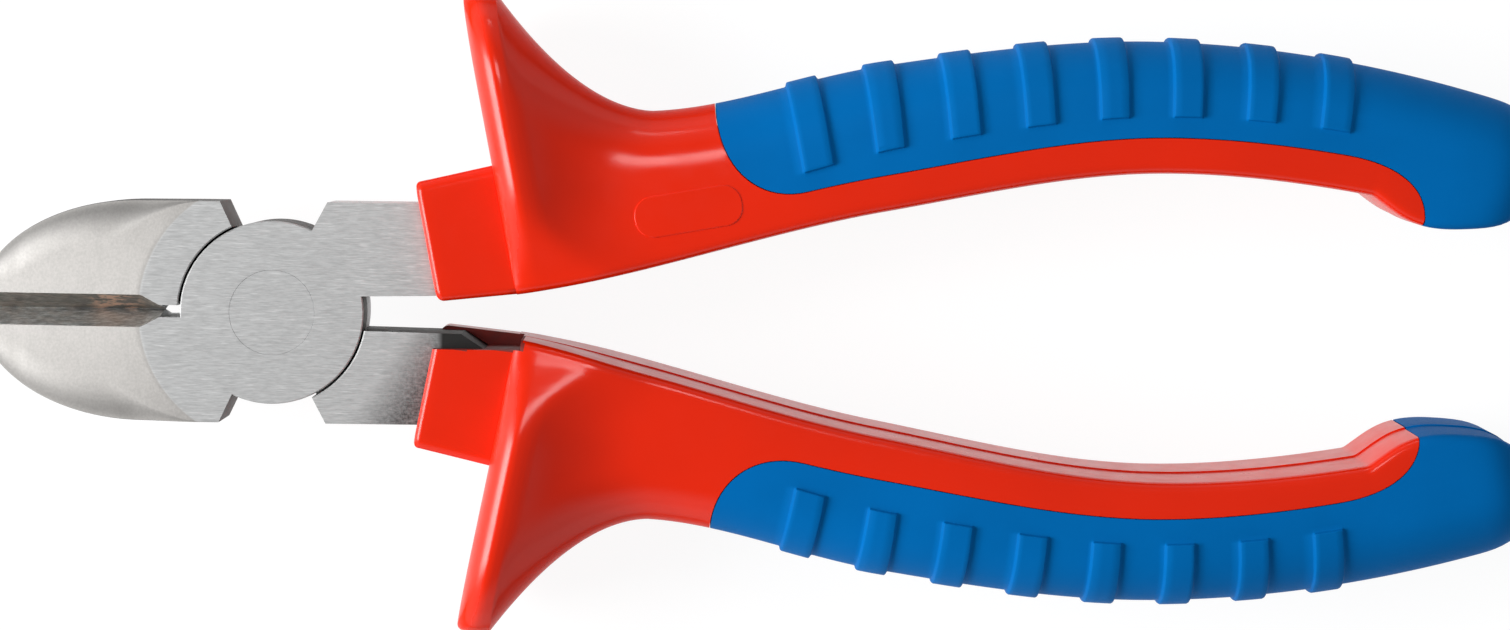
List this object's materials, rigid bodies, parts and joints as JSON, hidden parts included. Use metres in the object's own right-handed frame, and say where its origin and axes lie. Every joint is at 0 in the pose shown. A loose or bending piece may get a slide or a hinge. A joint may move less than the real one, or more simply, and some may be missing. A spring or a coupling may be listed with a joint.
{
  "type": "diagonal cutter",
  "caption": "Diagonal cutting pliers with a riveted lap joint, tapered bevelled jaws, flanged finger guards and curved two-layer handles with ribbed soft grips.",
  "frame": {"origin": "on the pivot axis, at the centre of the rivet's rear head, flush with the joint's underside", "axes": "+X from the pivot towards the handles, +Y across the tool towards the upper handle, +Z along the pivot axis from the underside to the shown face"},
  "size_m": [0.1805, 0.0736, 0.024],
  "materials": {
    "forged_steel": "ground flat and brushed",
    "rivet_steel": "ground flush and brushed",
    "red_plastic": "glossy moulded",
    "blue_soft_plastic": "satin soft moulded"
  },
  "bodies": {
    "front_half": {"front_jaw_half": "forged_steel", "pivot_rivet": "rivet_steel", "upper_handle_sleeve": "red_plastic", "upper_soft_grip": "blue_soft_plastic"},
    "rear_half": {"rear_jaw_half": "forged_steel", "lower_handle_sleeve": "red_plastic", "lower_soft_grip": "blue_soft_plastic"}
  },
  "joints": [
    {"name": "pivot", "type": "hinge", "parent": "front_half", "child": "rear_half", "pos_m": [0, 0, 0.00525], "axis": [0, 0, -1], "range_deg": [0, 45]}
  ]
}
